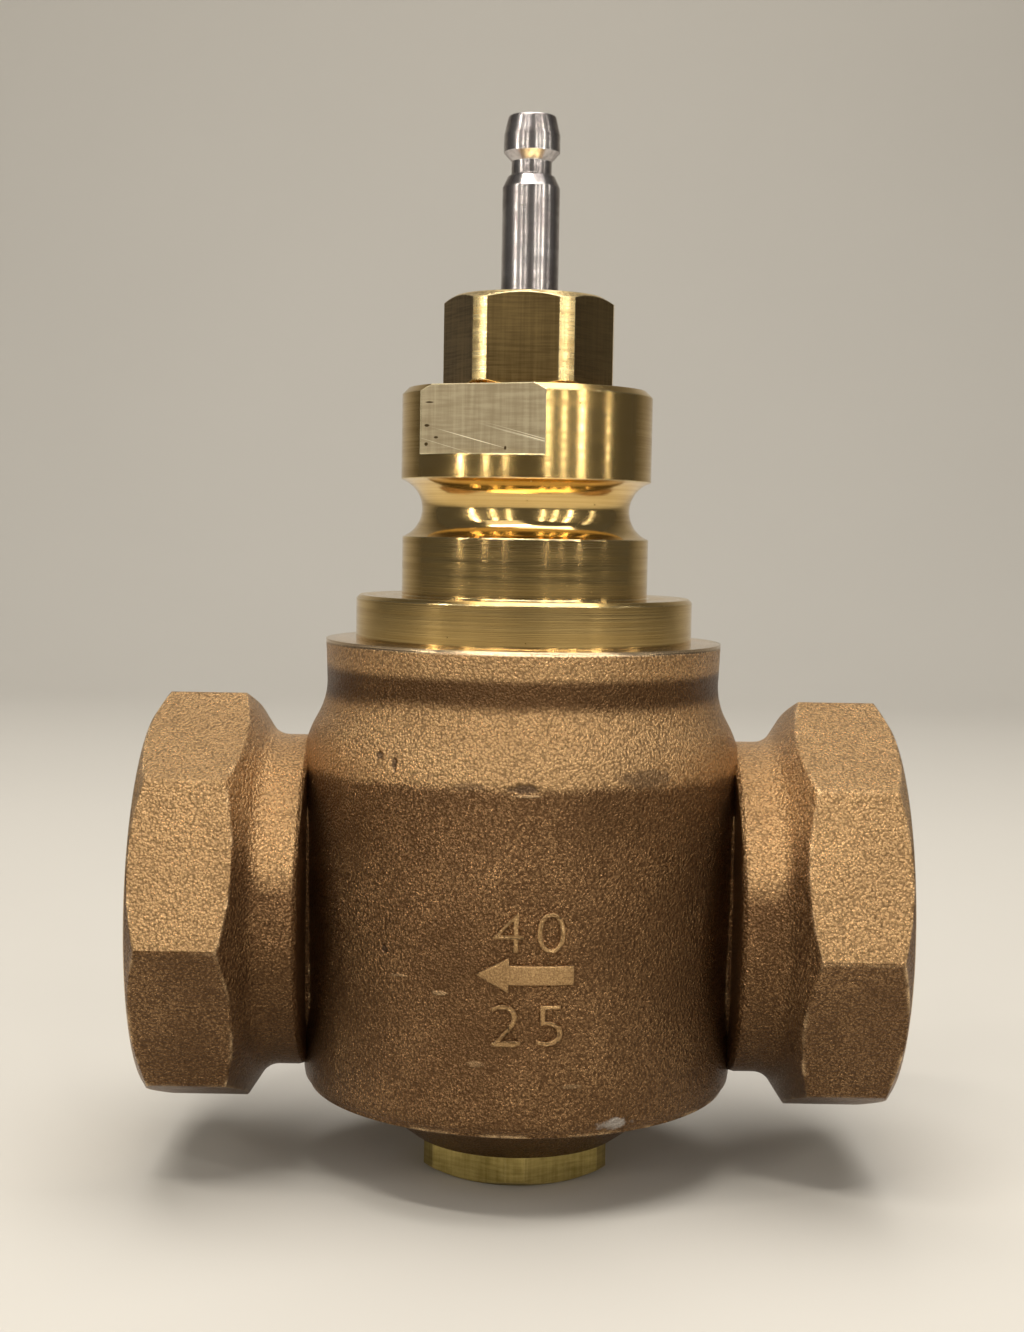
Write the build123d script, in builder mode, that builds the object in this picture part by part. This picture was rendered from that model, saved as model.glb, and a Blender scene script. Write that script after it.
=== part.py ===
from build123d import *
from math import atan, cos, degrees, hypot, pi, radians, sin, tan
import os

os.makedirs("parts", exist_ok=True)

# Two-way bronze globe valve, nominal 1-1/2 inch, with a neck and a clip groove for a linear actuator.
# Millimetres. +Z runs up the stem and X along the pipe. The origin is the centre of the foot.
# The stem is drawn raised, which is the open valve.

# Fits and clearances
thread_gap = 0.05
running_gap = 0.05
bore_gap = 0.1
seat_gap = 0.1
stop_gap = 0.4
flow_gap = 0.3
disc_room = 0.95

# Seat ring
seat_bore_r = 17.5
seat_lip_w = 1.3
seat_lip_h = 1.6
seat_wall = 4.0
seat_thread_h = 7.5
seat_flange_w = 2.1
seat_flange_h = 2.2
seat_slots = 4
seat_slot_w = 4.0
seat_slot_depth = 1.2

# Disc assembly at the stem's foot
stem_travel = 18.0
seal_overlap = 1.8
seal_h = 3.5
seal_proud = 1.0
holder_rim = 1.5
holder_plate_h = 5.0
holder_hub_r = 9.0
holder_hub_h = 4.0
flow_plug_land = 1.5
flow_plug_h = 16.0
flow_plug_tip_w = 3.2
flow_bulge_out = 0.72
flow_bulge_up = 0.5
disc_nut_across_flats = 13.0
disc_nut_h = 5.0
disc_nut_sink = 0.5
disc_nut_room = 0.8
disc_washer_h = 1.2

# Bottom plug, on which the valve stands
plug_head_h = 5.9
plug_head_cover = 0.55
plug_corner_step = 1.6
plug_foot_step = 0.6
plug_foot_rise = 1.1
plug_turn = 30.0
plug_thread_r = 13.0
plug_thread_h = 11.0
plug_thread_chamfer = 0.5
plug_relief_h = 2.0
plug_relief_depth = 0.9
plug_wall = 4.5
plug_hollow_floor = 5.0

# Bottom boss and its gasket
boss_wall = 3.25
boss_cone_w = 10.8
boss_cone_h = 8.0
boss_gasket_w = 2.4
boss_gasket_h = 1.5

# Barrel of the casting, from its foot up to its rim
foot_edge_h = 1.2
foot_taper = 0.87
foot_round = 2.2
belly_above_axis = 3.3
shoulder_rise = 15.5
shoulder_step = 4.22
shoulder_round = 18.0
rim_h = 7.3
rim_wall = 6.4
rim_flare = 0.3
rim_round = 1.3

# Chamber inside the barrel
barrel_wall = 5.6
floor_wall = 5.5
chamber_round = 5.0
chamber_shoulder_h = 7.0

# Pipe ends
passage_r = 22.0
port_step = 2.1
port_depth = 21.0
port_chamfer = 1.5
hub_wall = 9.9
hub_sides = 8
hub_turn = 3.5
hub_edge_round = 0.9
hub_length = 17.2
hub_face_w = 9.3
hub_face_slope = 56.0
hub_back_slope = 57.0
neck_wall = 5.0
neck_rise = 2.4
neck_run = 0.326
neck_round = 4.0
neck_blend = 2.5

# Bridge wall between the inlet and the outlet chamber
bridge_wall = 5.0
bridge_round = 6.0
bridge_land_w = 4.0
bridge_land_spare = 0.5
bridge_above_axis = 5.4

# Bonnet, from its thread to its collar
ceiling_depth = 6.5
spigot_wall = 2.9
bonnet_thread_h = 13.3
bonnet_thread_chamfer = 1.0
bonnet_relief_h = 2.0
bonnet_relief_depth = 1.2
bonnet_gasket_w = 2.2
bonnet_gasket_h = 1.5
flange_overhang = 1.2
flange_h = 7.7
flange_chamfer = 0.6
actuator_neck_h = 10.2
groove_h = 10.0
groove_depth = 3.7
collar_r = 21.9
collar_step = 0.3
collar_h = 15.8
collar_chamfer = 1.1
wrench_flat_depth = 3.3
wrench_flat_h = 11.8
wrench_turn = 24.3

# Stem, with the clip groove under its head
stem_r = 5.0
stem_straight = 18.9
stem_cone_h = 1.9
stem_neck_step = 0.9
clip_step_h = 0.3
clip_groove_depth = 1.5
clip_groove_h = 2.3
clip_slope_h = 1.5
clip_head_step = 0.1
clip_head_h = 3.0
stem_tip_h = 3.3
stem_tip_round = 0.4
stem_thread_step = 1.0
stem_thread_show = 0.3

# Packing chamber and what lies in it
guide_bush_wall = 2.5
stem_room = 0.8
stem_room_h = 3.0
packing_w = 3.5
packing_washer_h = 1.2
spring_wire = 1.2
wire_sides = 8
spring_h = 7.0
spring_turns = 3
chevron_h = 1.6
chevron_rise = 1.4
chevron_count = 3
adapter_h = 2.0

# Packing nut
hexagon = 6
nut_across_flats = 27.0
nut_corner_step = 1.34
nut_top_step = 0.6
nut_bottom_step = 0.1
nut_h = 16.0
nut_turn = 4.5
nut_chamfer_slope = 30.0
nut_thread_step = 1.5
nut_thread_h = 11.5
nut_nose_h = 3.1
wiper_w = 2.6
wiper_h = 3.0
wiper_lip_h = 1.0
o_ring_wire = 1.6
o_ring_seat_step = 0.8
o_ring_seat_h = 3.2
o_ring_groove_h = 2.2

# Radii, from the seat outwards
seat_lip_r = seat_bore_r + seat_lip_w
seat_thread_r = seat_bore_r + seat_wall
seat_flange_r = seat_thread_r + seat_flange_w
bridge_land_r = seat_thread_r + bridge_land_w
seal_r = seat_lip_r + seal_overlap
holder_r = seal_r + holder_rim
flow_plug_r = seat_bore_r - flow_gap
spigot_bore_r = holder_r + disc_room
spigot_r = spigot_bore_r + spigot_wall
bonnet_hole_r = spigot_r + thread_gap
relief_r = bonnet_hole_r - bonnet_relief_depth
gasket_seat_r = bonnet_hole_r + bonnet_gasket_w + bore_gap
flange_r = gasket_seat_r + flange_overhang
body_top_r = gasket_seat_r + rim_wall
waist_r = body_top_r - rim_flare
barrel_r = waist_r + shoulder_step
barrel_foot_r = barrel_r - foot_taper
chamber_r = barrel_r - barrel_wall

# Radii of the bottom opening and of the pipe ends
plug_hole_r = plug_thread_r + thread_gap
boss_gasket_r = plug_hole_r + boss_gasket_w
boss_r = boss_gasket_r + boss_wall
boss_cone_r = boss_r + boss_cone_w
plug_flat_r = boss_gasket_r + plug_head_cover
port_r = passage_r + port_step
neck_r = port_r + neck_wall
hub_flat_r = port_r + hub_wall
hub_face_r = port_r + hub_face_w

# Radii round the stem
stem_bore_r = stem_r + running_gap
stem_neck_r = stem_r - stem_neck_step
stem_thread_r = stem_r - stem_thread_step
stem_thread_bore_r = stem_thread_r + thread_gap
clip_groove_r = stem_r - clip_groove_depth
clip_head_r = stem_r - clip_head_step
guide_bush_r = stem_r + guide_bush_wall
packing_r = stem_r + packing_w
packing_outer_r = packing_r - running_gap
packing_middle_r = (stem_bore_r + packing_outer_r) / 2
nut_thread_r = packing_r + nut_thread_step
o_ring_seat_r = nut_thread_r + o_ring_seat_step
o_ring_groove_r = o_ring_seat_r - o_ring_wire - bore_gap
wiper_r = stem_r + wiper_w
disc_nut_room_r = disc_nut_across_flats / 2 / cos(pi / hexagon) + disc_nut_room

# Heights, from the foot up to the raised disc
boss_face_z = plug_head_h
barrel_foot_z = boss_face_z + boss_cone_h + foot_edge_h
floor_z = barrel_foot_z + floor_wall
axis_z = barrel_foot_z + neck_rise + neck_r
bridge_top_z = axis_z + bridge_above_axis
bridge_land_h = seat_thread_h + bridge_land_spare
seat_top_z = bridge_top_z + seat_flange_h + seat_lip_h
seal_bottom_z = seat_top_z + seat_gap + stem_travel
seal_top_z = seal_bottom_z + seal_h
holder_top_z = seal_top_z + holder_plate_h
holder_hub_top_z = holder_top_z + holder_hub_h
flow_plug_tip_z = seal_bottom_z - flow_plug_h
disc_nut_z = flow_plug_tip_z + disc_nut_sink
disc_washer_z = disc_nut_z + disc_nut_h

# Heights of the bonnet, which clears the raised disc, and of the barrel that carries it
bonnet_ceiling_z = holder_hub_top_z + stop_gap
body_top_z = bonnet_ceiling_z + ceiling_depth
waist_z = body_top_z - rim_h
shoulder_z = waist_z - shoulder_rise
spigot_bottom_z = body_top_z - bonnet_thread_h
flange_top_z = body_top_z + flange_h
groove_bottom_z = flange_top_z + actuator_neck_h
collar_bottom_z = groove_bottom_z + groove_h
collar_top_z = collar_bottom_z + collar_h
nut_top_z = collar_top_z + nut_h
nut_thread_end_z = collar_top_z - nut_thread_h

# Heights of the packing, from the nut's nose down to the guide bush
packing_top_z = nut_thread_end_z - nut_nose_h
upper_adapter_z = packing_top_z - adapter_h - chevron_rise
chevron_z = upper_adapter_z - chevron_count * chevron_h
lower_adapter_z = chevron_z - adapter_h
upper_washer_z = lower_adapter_z - packing_washer_h
spring_z = upper_washer_z - spring_h
packing_floor_z = spring_z - packing_washer_h
bush_top_z = packing_floor_z - stem_room_h

# Lengths along the pipe, from the barrel out to the mouth
hub_corner_r = hub_flat_r / cos(pi / hub_sides) + hub_edge_round
hub_back_x = barrel_r + neck_blend + neck_run + neck_round * tan(radians(hub_back_slope / 2))
half_length = hub_back_x + (hub_flat_r - neck_r) / tan(radians(hub_back_slope)) + hub_length
hub_back_run = (hub_corner_r - neck_r) / tan(radians(hub_back_slope))
hub_face_run = (hub_corner_r - hub_face_r) / tan(radians(hub_face_slope))
pipe_axis = Axis((0, 0, axis_z), (1, 0, 0))
pipe_mouths = [
    Plane((half_length, 0, axis_z), x_dir=(0, 1, 0), z_dir=(1, 0, 0)),
    Plane((-half_length, 0, axis_z), x_dir=(0, 1, 0), z_dir=(-1, 0, 0)),
]


def ring_profile(inner_r, outer_r, bottom_z, height):
    """Rectangle on the XZ plane that a full turn about Z makes into a flat ring."""
    with Locations((inner_r, bottom_z)):
        Rectangle(outer_r - inner_r, height, align=(Align.MIN, Align.MIN))


# Pipe end: neck, octagonal wrench hold and turned mouth, one of two alike
with BuildPart() as pipe_end:
    with BuildSketch(Plane.XZ) as pipe_end_profile:
        with BuildLine():
            Polyline(
                (0, axis_z),
                (0, axis_z + neck_r),
                (hub_back_x, axis_z + neck_r),
                (hub_back_x + hub_back_run, axis_z + hub_corner_r),
                (half_length - hub_face_run, axis_z + hub_corner_r),
                (half_length, axis_z + hub_face_r),
                (half_length, axis_z),
                close=True,
            )
        make_face()
        neck_corner = pipe_end_profile.vertices().sort_by_distance((hub_back_x, axis_z + neck_r))[0]
        fillet(neck_corner, neck_round)
    revolve(axis=pipe_axis)
    with BuildSketch(Plane.YZ) as octagon:
        with Locations((0, axis_z)):
            RegularPolygon(hub_flat_r, hub_sides, major_radius=False, rotation=hub_turn)
        fillet(octagon.vertices(), hub_edge_round)
    extrude(amount=half_length, mode=Mode.INTERSECT)

# Bridge: an S-shaped wall from the floor on the outlet side to the roof on the inlet side
bridge_line_z = bridge_top_z - bridge_land_h / 2
with BuildPart() as bridge:
    with BuildSketch(Plane.XZ):
        with BuildLine():
            FilletPolyline(
                (-chamber_r - bridge_wall, floor_z - bridge_wall),
                (-bridge_land_r, bridge_line_z),
                (bridge_land_r, bridge_line_z),
                (chamber_r + bridge_wall, axis_z + passage_r + bridge_wall),
                radius=bridge_round,
            )
        trace(line_width=bridge_wall)
    extrude(amount=chamber_r, both=True)
    with BuildSketch(Plane.XY.offset(bridge_top_z - bridge_land_h)):
        Circle(bridge_land_r)
    extrude(amount=bridge_land_h)
    with BuildSketch(Plane.XY.offset(floor_z - floor_wall / 2)):
        Circle(chamber_r + barrel_wall / 2)
    extrude(amount=body_top_z - floor_z, mode=Mode.INTERSECT)

# The casting, whole
shoulder_turn = 2 * atan(shoulder_step / shoulder_rise)
waist_round = shoulder_rise / sin(shoulder_turn) - shoulder_round

with BuildPart() as casting:
    with BuildSketch(Plane.YZ) as barrel_profile:
        with BuildLine():
            flank = Polyline(
                (0, boss_face_z),
                (boss_r, boss_face_z),
                (boss_cone_r, boss_face_z + boss_cone_h),
                (barrel_foot_r, barrel_foot_z),
                (barrel_r, axis_z + belly_above_axis),
                (barrel_r, shoulder_z),
            )
            shoulder = JernArc(flank @ 1, (0, 1), shoulder_round, degrees(shoulder_turn))
            waist = JernArc(shoulder @ 1, shoulder % 1, waist_round, -degrees(shoulder_turn))
            Polyline(waist @ 1, (body_top_r, body_top_z), (0, body_top_z), (0, boss_face_z))
        make_face()
        corners = barrel_profile.vertices()
        fillet(corners.sort_by_distance((barrel_foot_r, barrel_foot_z))[0], foot_round)
        fillet(corners.sort_by_distance((body_top_r, body_top_z))[0], rim_round)
    revolve(axis=Axis.Z)
    add(pipe_end.part)
    add(pipe_end.part.mirror(Plane.YZ))
    neck_seams = [
        edge
        for edge in casting.edges().filter_by(GeomType.BSPLINE)
        if abs((edge @ 0.5).X) < hub_back_x - neck_round
        and abs(hypot((edge @ 0.5).Y, (edge @ 0.5).Z - axis_z) - neck_r) < bore_gap
    ]
    fillet(neck_seams, neck_blend)

    # Chamber, with the bonnet's opening above it
    with BuildSketch(Plane.YZ) as chamber_profile:
        with BuildLine():
            Polyline(
                (0, floor_z),
                (chamber_r, floor_z),
                (chamber_r, spigot_bottom_z - chamber_shoulder_h),
                (bonnet_hole_r, spigot_bottom_z),
                (bonnet_hole_r, body_top_z - bonnet_gasket_h),
                (gasket_seat_r, body_top_z - bonnet_gasket_h),
                (gasket_seat_r, body_top_z),
                (0, body_top_z),
                close=True,
            )
        make_face()
        fillet(chamber_profile.vertices().sort_by_distance((chamber_r, floor_z))[0], chamber_round)
    revolve(axis=Axis.Z, mode=Mode.SUBTRACT)

    # Ports, with the passages that open into the chamber
    passage_depth = half_length - (chamber_r**2 - passage_r**2) ** 0.5 + bridge_wall / 2
    with Locations(*pipe_mouths):
        CounterBoreHole(passage_r, port_r, port_depth, passage_depth)
    mouths = casting.edges().filter_by(
        lambda edge: edge.geom_type == GeomType.CIRCLE and abs(abs(edge.center().X) - half_length) < bore_gap
        and abs(edge.radius - port_r) < bore_gap
    )
    chamfer(mouths, port_chamfer)

    # Bridge with its seat thread, then the bottom opening
    add(bridge.part)
    with Locations((0, 0, bridge_top_z)):
        Hole(seat_thread_r, bridge_land_h)
    with Locations(Plane(origin=(0, 0, boss_face_z), z_dir=(0, 0, -1))):
        CounterBoreHole(plug_hole_r, boss_gasket_r, boss_gasket_h, floor_z - boss_face_z)

# The casting is kept as a body and two ends, which meet at flat rings across the necks
neck_cut_x = barrel_r + neck_blend + neck_run / 2
for label, outward in (("inlet_end", 1), ("outlet_end", -1)):
    with BuildPart() as cast_end:
        add(casting.part)
        split(bisect_by=Plane((outward * neck_cut_x, 0, 0), z_dir=(outward, 0, 0)), keep=Keep.TOP)
    cast_end.part.label = label
    export_step(cast_end.part, f"parts/{label}.step")

with BuildPart() as valve_body:
    add(casting.part)
    split(bisect_by=Plane.YZ.offset(neck_cut_x), keep=Keep.BOTTOM)
    split(bisect_by=Plane.YZ.offset(-neck_cut_x), keep=Keep.TOP)

valve_body.part.label = "valve_body"
export_step(valve_body.part, "parts/valve_body.step")

# Seat ring: threaded skirt, flange with four key slots, raised seating lip
with BuildPart() as seat_ring:
    with BuildSketch(Plane.XZ):
        ring_profile(seat_bore_r, seat_thread_r - thread_gap, bridge_top_z - seat_thread_h, seat_thread_h)
        ring_profile(seat_bore_r, seat_flange_r, bridge_top_z, seat_flange_h)
        ring_profile(seat_bore_r, seat_lip_r, bridge_top_z + seat_flange_h, seat_lip_h)
    revolve(axis=Axis.Z)
    with BuildSketch(Plane.XY.offset(bridge_top_z + seat_flange_h)):
        with PolarLocations((seat_lip_r + seat_flange_r) / 2 + bore_gap, seat_slots):
            Rectangle(seat_flange_r - seat_lip_r, seat_slot_w)
    extrude(amount=-seat_slot_depth, mode=Mode.SUBTRACT)

seat_ring.part.label = "seat_ring"
export_step(seat_ring.part, "parts/seat_ring.step")

# Bottom plug: hexagon head with turned corners, hollow threaded shank
with BuildPart() as bottom_plug:
    with BuildSketch(Plane.XY):
        RegularPolygon(plug_flat_r, hexagon, major_radius=False, rotation=plug_turn)
    extrude(amount=plug_head_h)
    with BuildSketch(Plane.XZ):
        with BuildLine():
            Polyline(
                (0, 0),
                (plug_flat_r - plug_foot_step, 0),
                (plug_flat_r + plug_corner_step, plug_foot_rise),
                (plug_flat_r + plug_corner_step, plug_head_h),
                (0, plug_head_h),
                close=True,
            )
        make_face()
    revolve(axis=Axis.Z, mode=Mode.INTERSECT)
    with BuildSketch(Plane.XZ):
        ring_profile(0, plug_thread_r - plug_relief_depth, plug_head_h, plug_relief_h)
        ring_profile(0, plug_thread_r, plug_head_h + plug_relief_h, plug_thread_h - plug_relief_h)
    revolve(axis=Axis.Z)
    with BuildSketch(Plane.XY.offset(plug_hollow_floor)):
        Circle(plug_thread_r - plug_wall)
    extrude(amount=plug_head_h + plug_thread_h, mode=Mode.SUBTRACT)
    chamfer(bottom_plug.edges().filter_by(GeomType.CIRCLE).sort_by(Axis.Z)[-2:], plug_thread_chamfer)

bottom_plug.part.label = "bottom_plug"
export_step(bottom_plug.part, "parts/bottom_plug.step")

# Flat gaskets, each in the recess of the face it seals
with BuildPart() as bottom_plug_gasket:
    with BuildSketch(Plane.XZ):
        ring_profile(plug_hole_r, boss_gasket_r - bore_gap, boss_face_z, boss_gasket_h)
    revolve(axis=Axis.Z)

bottom_plug_gasket.part.label = "bottom_plug_gasket"
export_step(bottom_plug_gasket.part, "parts/bottom_plug_gasket.step")

with BuildPart() as bonnet_gasket:
    with BuildSketch(Plane.XZ):
        ring_profile(bonnet_hole_r, gasket_seat_r - bore_gap, body_top_z - bonnet_gasket_h, bonnet_gasket_h)
    revolve(axis=Axis.Z)

bonnet_gasket.part.label = "bonnet_gasket"
export_step(bonnet_gasket.part, "parts/bonnet_gasket.step")

# Bonnet: turned in one piece, then two wrench flats on the collar
wrench_across_flats = 2 * (collar_r - wrench_flat_depth)
with BuildPart() as bonnet:
    with BuildSketch(Plane.XZ):
        with BuildLine():
            skirt = Polyline(
                (guide_bush_r, bonnet_ceiling_z),
                (spigot_bore_r, bonnet_ceiling_z),
                (spigot_bore_r, spigot_bottom_z),
                (spigot_r - bonnet_thread_chamfer, spigot_bottom_z),
                (spigot_r, spigot_bottom_z + bonnet_thread_chamfer),
                (spigot_r, body_top_z - bonnet_relief_h),
                (relief_r, body_top_z - bonnet_relief_h),
                (relief_r, body_top_z),
                (flange_r, body_top_z),
                (flange_r, flange_top_z - flange_chamfer),
                (flange_r - flange_chamfer, flange_top_z),
                (collar_r - collar_step, flange_top_z),
                (collar_r - collar_step, groove_bottom_z),
            )
            groove = ThreePointArc(
                skirt @ 1,
                (collar_r - groove_depth, (groove_bottom_z + collar_bottom_z) / 2),
                (collar_r, collar_bottom_z),
            )
            Polyline(
                groove @ 1,
                (collar_r, collar_top_z - collar_chamfer),
                (collar_r - collar_chamfer, collar_top_z),
                (o_ring_seat_r, collar_top_z),
                (o_ring_seat_r, collar_top_z - o_ring_seat_h),
                (nut_thread_r, collar_top_z - o_ring_seat_h),
                (nut_thread_r, nut_thread_end_z - bore_gap),
                (packing_r, nut_thread_end_z - bore_gap),
                (packing_r, packing_floor_z),
                (stem_r + stem_room, packing_floor_z),
                (stem_r + stem_room, bush_top_z),
                (guide_bush_r, bush_top_z),
                (guide_bush_r, bonnet_ceiling_z),
            )
        make_face()
    revolve(axis=Axis.Z)
    with BuildSketch(Plane.XY.offset(collar_top_z)):
        Circle(collar_r + bore_gap)
        Rectangle(2 * collar_r, wrench_across_flats, rotation=-wrench_turn, mode=Mode.SUBTRACT)
    extrude(amount=-wrench_flat_h, mode=Mode.SUBTRACT)

bonnet.part.label = "bonnet"
export_step(bonnet.part, "parts/bonnet.step")

# Guide bush, pressed into the bonnet from below
with BuildPart() as guide_bush:
    with BuildSketch(Plane.XZ):
        ring_profile(stem_bore_r, guide_bush_r, bonnet_ceiling_z, bush_top_z - bonnet_ceiling_z)
    revolve(axis=Axis.Z)

guide_bush.part.label = "guide_bush"
export_step(guide_bush.part, "parts/guide_bush.step")

# Packing set, from the chamber's floor up: washer, spring, washer, adapter, chevrons, adapter
for label, washer_z in (("packing_washer_lower", packing_floor_z), ("packing_washer_upper", upper_washer_z)):
    with BuildPart() as packing_washer:
        with BuildSketch(Plane.XZ):
            ring_profile(stem_bore_r, packing_outer_r, washer_z, packing_washer_h)
        revolve(axis=Axis.Z)
    packing_washer.part.label = label
    export_step(packing_washer.part, f"parts/{label}.step")

coil_h = spring_h - spring_wire
coil_foot = (0, 0, spring_z + spring_wire / 2)
with BuildPart() as packing_spring:
    with BuildLine():
        coil = Helix(coil_h / spring_turns, coil_h, packing_middle_r, center=coil_foot)
    with BuildSketch(Plane(coil @ 0, z_dir=coil % 0)):
        RegularPolygon(spring_wire / 2, wire_sides)
    sweep(path=coil, is_frenet=True)

packing_spring.part.label = "packing_spring"
export_step(packing_spring.part, "parts/packing_spring.step")


def packing_section(bottom_z, edge_h, bottom_rise, top_rise):
    """Ring section whose underside and top are flat or rise to a ridge in the middle."""
    Polygon(
        (stem_bore_r, bottom_z),
        (packing_middle_r, bottom_z + bottom_rise),
        (packing_outer_r, bottom_z),
        (packing_outer_r, bottom_z + edge_h),
        (packing_middle_r, bottom_z + edge_h + top_rise),
        (stem_bore_r, bottom_z + edge_h),
        align=None,
    )


with BuildPart() as packing_adapter_lower:
    with BuildSketch(Plane.XZ):
        packing_section(lower_adapter_z, adapter_h, 0, chevron_rise)
    revolve(axis=Axis.Z)

packing_adapter_lower.part.label = "packing_adapter_lower"
export_step(packing_adapter_lower.part, "parts/packing_adapter_lower.step")

for turn in range(chevron_count):
    with BuildPart() as packing_ring:
        with BuildSketch(Plane.XZ):
            packing_section(chevron_z + turn * chevron_h, chevron_h, chevron_rise, chevron_rise)
        revolve(axis=Axis.Z)
    packing_ring.part.label = f"packing_ring_{turn + 1}"
    export_step(packing_ring.part, f"parts/packing_ring_{turn + 1}.step")

with BuildPart() as packing_adapter_upper:
    with BuildSketch(Plane.XZ):
        packing_section(upper_adapter_z, chevron_rise + adapter_h, chevron_rise, 0)
    revolve(axis=Axis.Z)

packing_adapter_upper.part.label = "packing_adapter_upper"
export_step(packing_adapter_upper.part, "parts/packing_adapter_upper.step")

# Packing nut: chamfered hexagon, threaded shank with an O-ring groove, nose that presses the packing
nut_flat_r = nut_across_flats / 2
nut_corner_r = nut_flat_r + nut_corner_step
nut_top_r = nut_flat_r - nut_top_step
nut_bottom_r = nut_flat_r - nut_bottom_step
chamfer_rise = tan(radians(nut_chamfer_slope))
with BuildPart() as packing_nut:
    with BuildSketch(Plane.XY.offset(collar_top_z)):
        RegularPolygon(nut_flat_r, hexagon, major_radius=False, rotation=-nut_turn)
    extrude(amount=nut_h)
    with BuildSketch(Plane.XZ):
        with BuildLine():
            Polyline(
                (0, collar_top_z),
                (nut_bottom_r, collar_top_z),
                (nut_corner_r, collar_top_z + (nut_corner_r - nut_bottom_r) * chamfer_rise),
                (nut_corner_r, nut_top_z - (nut_corner_r - nut_top_r) * chamfer_rise),
                (nut_top_r, nut_top_z),
                (0, nut_top_z),
                close=True,
            )
        make_face()
    revolve(axis=Axis.Z, mode=Mode.INTERSECT)
    with BuildSketch(Plane.XZ):
        ring_profile(0, o_ring_groove_r, collar_top_z - o_ring_groove_h, o_ring_groove_h)
        ring_profile(0, nut_thread_r - thread_gap, nut_thread_end_z, nut_thread_h - o_ring_groove_h)
        ring_profile(0, packing_outer_r, packing_top_z, nut_thread_end_z - packing_top_z)
    revolve(axis=Axis.Z)
    with Locations((0, 0, nut_top_z)):
        CounterBoreHole(stem_bore_r, wiper_r, wiper_h)

packing_nut.part.label = "packing_nut"
export_step(packing_nut.part, "parts/packing_nut.step")

with BuildPart() as packing_nut_o_ring:
    with Locations((0, 0, collar_top_z - o_ring_groove_h / 2)):
        Torus(o_ring_groove_r + (o_ring_wire + bore_gap) / 2, o_ring_wire / 2)

packing_nut_o_ring.part.label = "packing_nut_o_ring"
export_step(packing_nut_o_ring.part, "parts/packing_nut_o_ring.step")

# Wiper ring in the nut's mouth, with a lip that slopes to the stem
with BuildPart() as wiper_ring:
    with BuildSketch(Plane.XZ):
        with BuildLine():
            Polyline(
                (stem_bore_r, nut_top_z - wiper_h),
                (wiper_r - bore_gap, nut_top_z - wiper_h),
                (wiper_r - bore_gap, nut_top_z - wiper_lip_h),
                (stem_bore_r + bore_gap, nut_top_z - bore_gap),
                (stem_bore_r, nut_top_z - bore_gap),
                close=True,
            )
        make_face()
    revolve(axis=Axis.Z)

wiper_ring.part.label = "wiper_ring"
export_step(wiper_ring.part, "parts/wiper_ring.step")

# Stem: threaded foot, plain rod, clip groove and coned head
cone_z = nut_top_z + stem_straight
clip_groove_z = cone_z + stem_cone_h + clip_step_h
head_z = clip_groove_z + clip_groove_h + clip_slope_h
stem_top_z = head_z + clip_head_h + stem_tip_h
with BuildPart() as stem:
    with BuildSketch(Plane.XZ) as stem_profile:
        with BuildLine():
            Polyline(
                (0, disc_nut_z - stem_thread_show),
                (stem_thread_r, disc_nut_z - stem_thread_show),
                (stem_thread_r, holder_hub_top_z),
                (stem_r, holder_hub_top_z),
                (stem_r, cone_z),
                (stem_neck_r, cone_z + stem_cone_h),
                (clip_groove_r, clip_groove_z),
                (clip_groove_r, clip_groove_z + clip_groove_h),
                (clip_head_r, head_z),
                (clip_head_r, head_z + clip_head_h),
                (stem_neck_r, stem_top_z),
                (0, stem_top_z),
                close=True,
            )
        make_face()
        fillet(stem_profile.vertices().sort_by_distance((stem_neck_r, stem_top_z))[0], stem_tip_round)
    revolve(axis=Axis.Z)

stem.part.label = "stem"
export_step(stem.part, "parts/stem.step")

# Disc holder: plate with a rim round the seal, and a hub that the stem's shoulder bears on
with BuildPart() as disc_holder:
    with BuildSketch(Plane.XZ) as holder_profile:
        ring_profile(seal_r + bore_gap, holder_r, seal_bottom_z + seal_proud, seal_h - seal_proud)
        ring_profile(stem_thread_bore_r, holder_r, seal_top_z, holder_plate_h)
        ring_profile(stem_thread_bore_r, holder_hub_r, holder_top_z, holder_hub_h)
        chamfer(holder_profile.vertices().sort_by_distance((holder_r, holder_top_z))[0], holder_rim)
    revolve(axis=Axis.Z)

disc_holder.part.label = "disc_holder"
export_step(disc_holder.part, "parts/disc_holder.step")

# Soft ring that closes on the seat's lip
with BuildPart() as disc_seal:
    with BuildSketch(Plane.XZ):
        ring_profile(holder_hub_r + bore_gap, seal_r, seal_bottom_z, seal_h)
    revolve(axis=Axis.Z)

disc_seal.part.label = "disc_seal"
export_step(disc_seal.part, "parts/disc_seal.step")

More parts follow.
